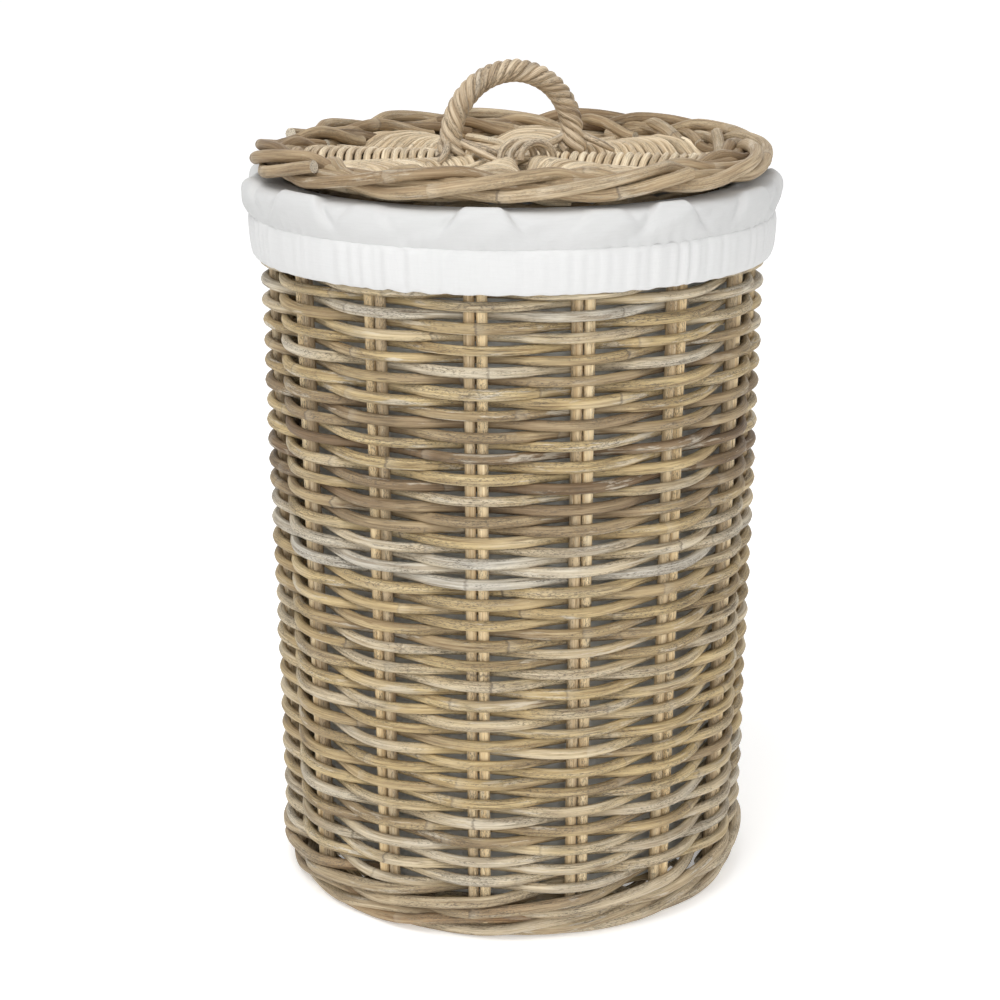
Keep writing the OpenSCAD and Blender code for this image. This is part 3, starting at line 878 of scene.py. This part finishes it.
def soft_line(points, steps):
    """Points along a smooth curve that rounds off the corners of a list of points."""
    points = np.asarray(points, float)
    ends = np.concatenate([2 * points[:1] - points[1:2], points, 2 * points[-1:] - points[-2:-1]])
    spans = len(points) - 1
    at = np.linspace(0, spans, steps)
    i = np.minimum(at.astype(int), spans - 1)
    f = (at - i)[:, None]
    weights = ((1 - f) ** 3, 3 * f**3 - 6 * f**2 + 4, -3 * f**3 + 3 * f**2 + 3 * f + 1, f**3)
    return sum(weight * ends[i + k] for k, weight in enumerate(weights)) / 6


def cloth(name, middle, material, thick=CLOTH_T, pole=False):
    """A closed sheet of cloth round the basket, from its middle surface as rows of points round the axis."""
    rows, steps, _ = middle.shape
    up = np.gradient(middle, axis=0)
    beside = (np.roll(middle, -1, 1) - np.roll(middle, 1, 1)) / 2
    normal = np.cross(beside, up)
    normal /= np.maximum(np.linalg.norm(normal, axis=2, keepdims=True), 1e-12)
    points = np.concatenate([middle + normal * thick / 2, middle - normal * thick / 2]).reshape(-1, 3)
    column = np.arange(steps)
    after = np.roll(column, -1)
    faces = []
    for row in range(rows - 1):
        low, high = row * steps, (row + 1) * steps
        faces.append(np.stack([low + column, low + after, high + after, high + column], 1))
        low, high = low + rows * steps, high + rows * steps
        faces.append(np.stack([low + column, high + column, high + after, low + after], 1))
    edges = [] if pole else [(0, False)]
    for row, flip in edges + [(rows - 1, True)]:
        a, b = row * steps, (row + rows) * steps
        rim = np.stack([a + column, b + column, b + after, a + after], 1)
        faces.append(rim[:, ::-1] if flip else rim)
    mesh = bpy.data.meshes.new(name)
    mesh.from_pydata(points.tolist(), [], np.concatenate(faces).tolist())

    # The weave runs along the cloth in metres: round the girth one way and down the length the other.
    length = np.concatenate([[0], np.cumsum(np.linalg.norm(np.diff(middle[:, 0], axis=0), axis=1))])
    girth = np.linalg.norm(beside, axis=2).sum(1).max()
    corners = np.empty(len(mesh.loops), int)
    mesh.loops.foreach_get("vertex_index", corners)
    corners = corners.reshape(-1, 4)
    columns = corners % steps
    at_seam = (columns.min(1) == 0) & (columns.max(1) == steps - 1)
    columns[at_seam[:, None] & (columns == 0)] = steps
    flat = np.stack([columns / steps * girth, length[corners // steps % rows]], 2)
    layer = mesh.uv_layers.new(name="cloth")
    layer.data.foreach_set("uv", flat.ravel().astype(np.float32))
    side = mesh.attributes.new("side", "FLOAT", "POINT")
    side.data.foreach_set("value", (np.arange(len(points)) >= rows * steps).astype(np.float32))
    mesh.polygons.foreach_set("use_smooth", np.ones(len(mesh.polygons), bool))
    mesh.materials.append(material)
    if pole:
        work = bmesh.new()
        work.from_mesh(mesh)
        bmesh.ops.remove_doubles(work, verts=work.verts, dist=1e-6)
        work.to_mesh(mesh)
        work.free()
    mesh.update()
    piece = bpy.data.objects.new(name, mesh)
    scene.collection.objects.link(piece)
    return piece


def ring_points(angle, radius, z):
    """Places round the axis, at angles from the front, for rows of radii and heights."""
    angle, radius, z = np.broadcast_arrays(angle, radius, z)
    return np.stack([np.sin(angle) * radius, -np.cos(angle) * radius, z], 2)


turn = np.linspace(0, 2 * np.pi, AROUND_STEPS, endpoint=False)[None, :]
cuff_r, cuff_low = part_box("liner_cuff")[1][0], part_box("liner_cuff")[0][2]
hem_r, hem_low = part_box("liner_hem")[1][0] - 0.0008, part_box("liner_hem")[0][2]
fold_z = (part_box("liner_fold")[0][2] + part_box("liner_fold")[1][2]) / 2
bag_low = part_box("liner_wall")[0][2]
bag_foot_r = wall_foot_r - WALL_T - 0.003 - CLOTH_T

# The bag hangs inside the wall, a little loose, in shallow upright folds.
bag_z = np.linspace(bag_low, fold_z - 0.012, 22)[:, None]
loose = 0.0010 + 0.0046 * np.sin(np.pi * (bag_z - bag_low) / (fold_z - bag_low)) ** 0.7
slack = (waves(turn, 5, 9, 30) * 0.5 + 0.5) * loose
bag = ring_points(turn, bag_foot_r + wall_lean * bag_z - slack, bag_z)

# Over the rim and down outside: a resting line, a hollow line and the line of a raised puff.
# Each is a list of radii and heights, from the inside of the bag to the hem.
rim_edge = rim_out - 0.001
fold_r = bag_foot_r + wall_lean * fold_z
over_rim = [
    (fold_r, fold_z - 0.012), (fold_r + 0.001, fold_z - 0.003), (bag_foot_r + 0.014, fold_z),
    (rim_edge - 0.012, fold_z),
]
into_hem = [(hem_r - 0.0014, cuff_low + 0.002), (hem_r - 0.0020, cuff_low - 0.002)]
resting = over_rim + [
    (rim_edge - 0.001, fold_z - 0.0003), (cuff_r - 0.0045, fold_z - 0.002),
    (cuff_r - 0.0022, fold_z - 0.007), (cuff_r - 0.0020, fold_z - 0.013), (cuff_r - 0.0030, fold_z - 0.020),
] + into_hem
hollow = over_rim + [
    (rim_edge - 0.002, fold_z - 0.0006), (cuff_r - 0.0075, fold_z - 0.0028),
    (cuff_r - 0.0055, fold_z - 0.009), (cuff_r - 0.0048, fold_z - 0.015), (cuff_r - 0.0045, fold_z - 0.021),
] + into_hem
puffed = over_rim + [
    (rim_edge - 0.001, fold_z + 0.0018), (cuff_r - 0.0050, fold_z + 0.0052),
    (cuff_r + 0.0002, fold_z + 0.0022), (cuff_r + 0.0016, fold_z - 0.006), (cuff_r + 0.0002, fold_z - 0.015),
    (hem_r - 0.0012, cuff_low + 0.002), (hem_r - 0.0020, cuff_low - 0.002),
]
CUFF_ROWS = 46
resting, hollow, puffed = (soft_line(line, CUFF_ROWS)[:, None, :] for line in (resting, hollow, puffed))

# Angle from the front and half width at the top, in degrees, and height of each puff, from 0 to 1.
PUFFS = [
    (-49.7, 5.6, 1.0), (-31.0, 2.6, 0.35), (-5.9, 3.7, 1.0), (19.0, 3.0, 0.35), (34.0, 3.2, 0.9),
    (62.0, 4.5, 0.6), (-76.0, 4.0, 0.6), (88.0, 4.2, 0.8), (113.0, 3.4, 0.9), (137.0, 5.0, 0.7),
    (165.0, 3.8, 1.0), (-104.0, 4.4, 0.9), (-131.0, 3.5, 0.6), (-158.0, 4.6, 0.8),
]
SAG_AT, SAG_HALF = math.radians(270), 0.30  # where the cuff sags most, and half the width of the sag
fallen = np.clip((fold_z + 0.004 - resting[:, :, 1]) / (fold_z + 0.004 - cuff_low), 0, 1)
on_rim = np.linspace(0, 1, CUFF_ROWS)[:, None]
puff = np.zeros((CUFF_ROWS, AROUND_STEPS))
crease = np.zeros_like(puff)
for at, half, high in PUFFS:
    # A puff is narrow and sharp at the rim, and wider and softer further down.
    away = np.abs((turn - math.radians(at) + np.pi) % (2 * np.pi) - np.pi) * cuff_r
    edge = math.radians(half) * cuff_r + 0.016 * fallen**1.3
    soft = 0.0036 + 0.014 * fallen
    puff += high * smooth_step(edge + soft, edge - soft * 0.6, away) * (1 - 0.75 * fallen**1.5)
    beside_puff = (away - edge - soft * 0.9) / (0.0022 + 0.006 * fallen)
    crease += high * np.exp(-beside_puff**2) * (1 - fallen) ** 0.8
puff = np.clip(puff, 0, 1)
dip = smooth_step(-0.2, 0.9, waves(turn, 21, 3, 11)) * 0.8 + 0.1
line = resting * (1 - dip[..., None]) + hollow * dip[..., None]
line = line * (1 - puff[..., None]) + puffed * puff[..., None]
outside = smooth_step(0.42, 0.60, on_rim)
halfway = np.sin(np.pi * fallen)
gathers = waves(turn, 31, 70, 130, 14) * np.exp(-((1 - fallen) / 0.30) ** 2)
ripples = waves(turn + 0.35 * fallen, 33, 10, 34, 9) * halfway**0.8
sag = 0.0045 * np.exp(-((turn - SAG_AT) / SAG_HALF) ** 2) * halfway**0.7
cuff_radius = line[..., 0] + outside * (0.0009 * gathers + 0.0013 * ripples - 0.0028 * crease + sag)
cuff_z = line[..., 1] - outside * 0.0016 * crease
cuff = ring_points(turn, cuff_radius, cuff_z)

bag_sheet = cloth("liner_bag", np.concatenate([bag, cuff[1:]]), liner_cotton)
finish_piece(bag_sheet, "liner", ["liner_wall", "liner_fold", "liner_cuff"])

# The hem is a strip folded round the elastic, bunched up in small gathers.
HEM_STEPS, HEM_ROWS = 1100, 30
HEM_TAPER = 0.0022
hem_turn = np.linspace(0, 2 * np.pi, HEM_STEPS, endpoint=False)[None, :]
hem_top = cuff_low + 0.0006


def hem_taper(z):
    """How far the hem draws in at a height."""
    return HEM_TAPER * (hem_top - z) / (hem_top - hem_low)


bunch = waves(hem_turn, 41, 60, 150, 20) * (0.75 + 0.35 * waves(hem_turn, 45, 2, 8))
ruffle = waves(hem_turn, 43, 40, 75, 9)
hem_middle = (hem_top + hem_low) / 2
loop = soft_line([
    (hem_r - 0.0016, hem_top + 0.0004), (hem_r - 0.0006, hem_top + 0.0002), (hem_r + 0.0006, hem_top - 0.005),
    (hem_r + 0.0008, hem_middle), (hem_r + 0.0006, hem_low + 0.006), (hem_r - 0.0004, hem_low + 0.0008),
    (hem_r - 0.0018, hem_low - 0.0004), (hem_r - 0.0030, hem_low + 0.0008), (hem_r - 0.0036, hem_low + 0.006),
    (hem_r - 0.0036, hem_middle), (hem_r - 0.0034, hem_top - 0.006), (hem_r - 0.0022, hem_top - 0.0005),
], HEM_ROWS)
where = np.linspace(0, 1, HEM_ROWS)[:, None]
face = smooth_step(0.03, 0.16, where) * smooth_step(0.62, 0.48, where)
foot = np.exp(-((where - 0.5) / 0.16) ** 2)
hem_radius = loop[:, :1] + face * (0.0013 * bunch + 0.0008 * ruffle) - hem_taper(loop[:, 1:])
hem_height = loop[:, 1:] + foot * (0.0009 * ruffle + 0.0007 * bunch)
hem = cloth("liner_hem_band", ring_points(hem_turn, hem_radius, hem_height), hem_cotton, thick=0.0007)
finish_piece(hem, "liner", ["liner_hem"])

# The elastic inside the hem.
elastic_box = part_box("hem_elastic")
elastic_z = np.linspace(elastic_box[0][2] + 0.001, elastic_box[1][2] - 0.001, 8)[:, None]
elastic_r = elastic_box[1][0] - 0.0016 - hem_taper(elastic_z)
elastic = cloth("elastic_strip", ring_points(turn, elastic_r, elastic_z), elastic_web, thick=0.0012)
finish_piece(elastic, "liner", ["hem_elastic"])

# The bag's round floor lies on the base, with soft puckers along its seam.
DISC_ROWS = 40
share = np.linspace(0, 1, DISC_ROWS)[:, None]
disc_r = share * (bag_foot_r + wall_lean * bag_low - 0.0012)
puckers = 0.0012 * waves(turn, 53, 30, 60, 9) * share**6
disc_z = bag_low + 0.0012 + 0.0009 * waves(turn, 51, 4, 12) * share + puckers
disc = cloth("liner_floor", ring_points(turn, disc_r, disc_z)[:, ::-1], liner_cotton, pole=True)
finish_piece(disc, "liner", ["liner_base"])


# ---------------------------------------------------------------- camera, light and floor

FLOOR_HALF = 30.0
corners = [(x * FLOOR_HALF, y * FLOOR_HALF, 0.0) for x, y in ((-1, -1), (1, -1), (1, 1), (-1, 1))]
floor = bpy.data.objects.new("floor", bpy.data.meshes.new("floor"))
floor.data.from_pydata(corners, [], [(0, 1, 2, 3)])
floor_paint, _, floor_shader = new_material("floor_paint")
floor_shader.inputs["Base Color"].default_value = (0.95, 0.95, 0.95, 1.0)
floor_shader.inputs["Roughness"].default_value = 0.9
floor_shader.inputs["Emission Color"].default_value = (1.0, 1.0, 1.0, 1.0)
floor_shader.inputs["Emission Strength"].default_value = 0.30
floor.data.materials.append(floor_paint)
scene.collection.objects.link(floor)

# A white room, which lights the basket more from the front, the back and above than from the sides.
world = bpy.data.worlds.new("studio")
world.use_nodes = True
sky = world.node_tree
facing = out(node(sky, "ShaderNodeTexCoord"))
lit = abs(part_of(facing, 1)).power(4.0) * 1.75 + part_of(facing, 2).math("MAXIMUM", 0.0) * 0.22 + 0.40
seen = out(node(sky, "ShaderNodeLightPath"))
put(sky, sky.nodes["Background"].inputs["Strength"], seen + (1.0 - seen) * lit)
sky.nodes["Background"].inputs["Color"].default_value = (1.0, 1.0, 1.0, 1.0)
scene.world = world


def soft_light(name, at, aim, size, power):
    """A round studio lamp that points at a place."""
    lamp = bpy.data.lights.new(name, "AREA")
    lamp.shape = "DISK"
    lamp.size, lamp.energy = size, power
    holder = bpy.data.objects.new(name, lamp)
    holder.location = at
    holder.rotation_euler = (Vector(aim) - Vector(at)).to_track_quat("-Z", "Y").to_euler()
    scene.collection.objects.link(holder)


soft_light("top_light", at=(-0.6, -0.9, 2.6), aim=(0, 0, 0.3), size=1.6, power=29)
soft_light("front_light", at=(0.9, -2.4, 1.5), aim=(0, 0, 0.3), size=1.4, power=8)

CAMERA_DISTANCE, CAMERA_HEIGHT, CAMERA_PITCH = 1.801, 0.815, math.radians(17.02)
camera = bpy.data.objects.new("camera", bpy.data.cameras.new("camera"))
camera.data.lens, camera.data.sensor_width = 82.8, 36.0
camera.data.shift_x, camera.data.shift_y = -0.0122, 0.045
camera.location = (0.0, -CAMERA_DISTANCE, CAMERA_HEIGHT)
camera.rotation_euler = (math.pi / 2 - CAMERA_PITCH, 0.0, 0.0)
scene.collection.objects.link(camera)
scene.camera = camera
scene.view_settings.view_transform = "Standard"
